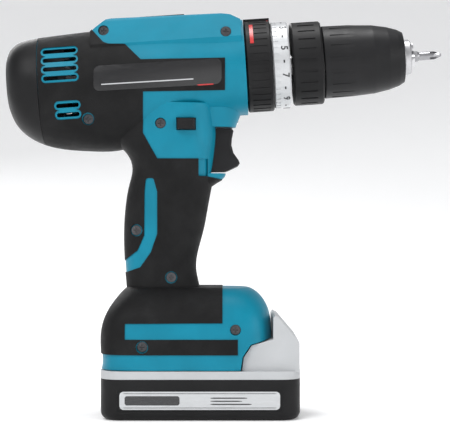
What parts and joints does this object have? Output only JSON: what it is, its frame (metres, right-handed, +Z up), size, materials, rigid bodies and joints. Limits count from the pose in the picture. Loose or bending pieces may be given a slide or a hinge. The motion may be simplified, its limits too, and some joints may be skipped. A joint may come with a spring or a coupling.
{
  "type": "cordless drill",
  "caption": "Cordless hammer driver-drill with a pistol grip, keyless chuck, torque and mode rings, planetary gearbox and a slide-on battery pack that it stands on.",
  "frame": {"origin": "middle of the battery pack's flat underside", "axes": "+X forward, towards the bit; +Y to the tool's left; +Z up. The tool axis leans nose-up by 3.7 degrees and passes through (0, 0, 0.2075)."},
  "size_m": [0.2618, 0.076, 0.241],
  "materials": {
    "teal_plastic": "fine matte grain",
    "black_plastic": "fine matte grain",
    "soft_grip": "matte, fine leather grain",
    "grey_plastic": "fine matte grain",
    "silver_plastic": "satin silver paint",
    "dark_steel": "blackened, turned",
    "steel": "ground",
    "cast_alloy": "as cast",
    "brass": "plain",
    "copper": "enamelled wire",
    "carbon": "dull graphite",
    "magnet": "sintered ferrite",
    "lens": "clear moulded",
    "cell_wrap": "shrink film",
    "wire_cover": "PVC cover",
    "inner_plastic": "glass-filled nylon"
  },
  "bodies": {
    "housing": {"housing_right": "teal_plastic", "housing_left": "teal_plastic", "overmold_right": "soft_grip", "overmold_left": "soft_grip", "rear_cover": "black_plastic", "case_screws": "dark_steel", "led_lens": "lens", "gear_case": "cast_alloy", "motor_bracket": "cast_alloy", "ring_gear_1": "steel", "motor_can": "dark_steel", "magnets": "magnet", "brush_holder": "inner_plastic", "carbon_brushes": "carbon", "motor_bearings": "steel", "switch_body": "inner_plastic", "terminal_block": "inner_plastic", "wiring": "wire_cover", "spindle_bearings": "steel", "hammer_cam": "steel", "clutch_ring_gear": "steel", "clutch_pins": "steel", "clutch_spring": "steel"},
    "spindle_group": {"output_carrier": "steel", "spindle": "steel", "chuck_body": "steel", "chuck_ring": "black_plastic"},
    "gear_block": {"carrier_1": "steel", "planets_2": "steel", "carrier_2": "steel"},
    "rotor": {"motor_shaft": "steel", "armature_core": "dark_steel", "windings": "copper", "commutator": "copper", "cooling_fan": "inner_plastic"},
    "speed_ring": {"speed_ring_gear": "steel"},
    "speed_lever": {"speed_lever": "black_plastic"},
    "clutch_nut": {"clutch_nut": "brass"},
    "torque_ring": {"torque_ring": "silver_plastic"},
    "mode_ring": {"mode_ring": "black_plastic"},
    "chuck_sleeve": {"chuck_sleeve": "black_plastic", "chuck_nut": "steel"},
    "bit": {"driver_bit": "steel"},
    "trigger": {"trigger": "black_plastic"},
    "reverse_lever": {"reverse_lever": "black_plastic"},
    "battery": {"battery_top": "grey_plastic", "battery_base": "black_plastic", "battery_cells": "cell_wrap", "battery_terminals": "brass", "battery_screws": "dark_steel"},
    "release_button": {"release_button": "black_plastic"},
    "planet_1a": {"planet_1a": "steel"},
    "planet_3a": {"planet_3a": "steel"},
    "planet_1b": {"planet_1b": "steel"},
    "planet_3b": {"planet_3b": "steel"},
    "planet_1c": {"planet_1c": "steel"},
    "planet_3c": {"planet_3c": "steel"},
    "jaw_1": {"jaw_1": "steel"},
    "jaw_2": {"jaw_2": "steel"},
    "jaw_3": {"jaw_3": "steel"}
  },
  "joints": [
    {"name": "spindle_spin", "type": "hinge", "parent": "housing", "child": "spindle_group", "pos_m": [0, 0, 0.2075], "axis": [0.9979, 0, 0.0645], "continuous": true},
    {"name": "gear_block_spin", "type": "hinge", "parent": "housing", "child": "gear_block", "pos_m": [0, 0, 0.2075], "axis": [0.9979, 0, 0.0645], "continuous": true},
    {"name": "rotor_spin", "type": "hinge", "parent": "housing", "child": "rotor", "pos_m": [-0.05987, 0, 0.20363], "axis": [0.9979, 0, 0.0645], "continuous": true},
    {"name": "speed_lever_slide", "type": "slide", "parent": "housing", "child": "speed_lever", "axis": [0.9979, 0, 0.0645], "range_m": [0, 0.005]},
    {"name": "speed_ring_spin", "type": "hinge", "parent": "speed_lever", "child": "speed_ring", "pos_m": [-0.01098, 0, 0.20679], "axis": [0.9979, 0, 0.0645], "continuous": true},
    {"name": "planet_1a_spin", "type": "hinge", "parent": "gear_block", "child": "planet_1a", "pos_m": [-0.01896, 0.01125, 0.20627], "axis": [0.9979, 0, 0.0645], "continuous": true},
    {"name": "planet_1b_spin", "type": "hinge", "parent": "gear_block", "child": "planet_1b", "pos_m": [-0.01959, -0.00562, 0.216], "axis": [0.9979, 0, 0.0645], "continuous": true},
    {"name": "planet_1c_spin", "type": "hinge", "parent": "gear_block", "child": "planet_1c", "pos_m": [-0.01833, -0.00562, 0.19655], "axis": [0.9979, 0, 0.0645], "continuous": true},
    {"name": "planet_3a_spin", "type": "hinge", "parent": "spindle_group", "child": "planet_3a", "pos_m": [0.001, 0.0135, 0.20756], "axis": [0.9979, 0, 0.0645], "continuous": true},
    {"name": "planet_3b_spin", "type": "hinge", "parent": "spindle_group", "child": "planet_3b", "pos_m": [0.00024, -0.00675, 0.21923], "axis": [0.9979, 0, 0.0645], "continuous": true},
    {"name": "planet_3c_spin", "type": "hinge", "parent": "spindle_group", "child": "planet_3c", "pos_m": [0.00175, -0.00675, 0.1959], "axis": [0.9979, 0, 0.0645], "continuous": true},
    {"name": "torque_ring_turn", "type": "hinge", "parent": "housing", "child": "torque_ring", "pos_m": [0.0479, 0, 0.2106], "axis": [0.9979, 0, 0.0645], "range_deg": [0, 300]},
    {"name": "clutch_nut_slide", "type": "slide", "parent": "housing", "child": "clutch_nut", "axis": [-0.9979, 0, -0.0645], "range_m": [0, 0.0034], "deforming": ["clutch_spring"]},
    {"name": "mode_ring_turn", "type": "hinge", "parent": "housing", "child": "mode_ring", "pos_m": [0.03493, 0, 0.20976], "axis": [0.9979, 0, 0.0645], "range_deg": [-35, 35]},
    {"name": "chuck_sleeve_turn", "type": "hinge", "parent": "spindle_group", "child": "chuck_sleeve", "pos_m": [0.0978, 0, 0.21382], "axis": [0.9979, 0, 0.0645], "range_deg": [0, 2700]},
    {"name": "jaw_1_slide", "type": "slide", "parent": "spindle_group", "child": "jaw_1", "axis": [-0.9882, 0, 0.153], "range_m": [0, 0.015]},
    {"name": "jaw_2_slide", "type": "slide", "parent": "spindle_group", "child": "jaw_2", "axis": [-0.9673, -0.1874, -0.171], "range_m": [0, 0.015]},
    {"name": "jaw_3_slide", "type": "slide", "parent": "spindle_group", "child": "jaw_3", "axis": [-0.9673, 0.1874, -0.171], "range_m": [0, 0.015]},
    {"name": "bit_slide", "type": "slide", "parent": "spindle_group", "child": "bit", "axis": [0.9979, 0, 0.0645], "range_m": [0, 0.04]},
    {"name": "trigger_pull", "type": "slide", "parent": "housing", "child": "trigger", "axis": [-1, 0, 0], "range_m": [0, 0.0065], "stiffness_N_per_m": 700},
    {"name": "reverse_lever_slide", "type": "slide", "parent": "housing", "child": "reverse_lever", "axis": [0, 1, 0], "range_m": [-0.003, 0.003]},
    {"name": "battery_slide", "type": "slide", "parent": "housing", "child": "battery", "axis": [1, 0, 0], "range_m": [0, 0.085]},
    {"name": "release_button_press", "type": "slide", "parent": "battery", "child": "release_button", "axis": [0, 0, -1], "range_m": [0, 0.005], "stiffness_N_per_m": 300}
  ],
  "couplings": [
    {"joint": "gear_block_spin", "follows": "spindle_spin", "ratio": 3},
    {"joint": "rotor_spin", "follows": "spindle_spin", "ratio": 15},
    {"joint": "speed_ring_spin", "follows": "spindle_spin", "ratio": 3},
    {"joint": "planet_1a_spin", "follows": "spindle_spin", "ratio": -8},
    {"joint": "planet_1b_spin", "follows": "spindle_spin", "ratio": -8},
    {"joint": "planet_1c_spin", "follows": "spindle_spin", "ratio": -8},
    {"joint": "planet_3a_spin", "follows": "spindle_spin", "ratio": -4},
    {"joint": "planet_3b_spin", "follows": "spindle_spin", "ratio": -4},
    {"joint": "planet_3c_spin", "follows": "spindle_spin", "ratio": -4},
    {"joint": "clutch_nut_slide", "follows": "torque_ring_turn", "m_per_rad": 0.00064935},
    {"joint": "jaw_1_slide", "follows": "chuck_sleeve_turn", "m_per_rad": 0.00031828},
    {"joint": "jaw_2_slide", "follows": "chuck_sleeve_turn", "m_per_rad": 0.00031828},
    {"joint": "jaw_3_slide", "follows": "chuck_sleeve_turn", "m_per_rad": 0.00031828}
  ]
}
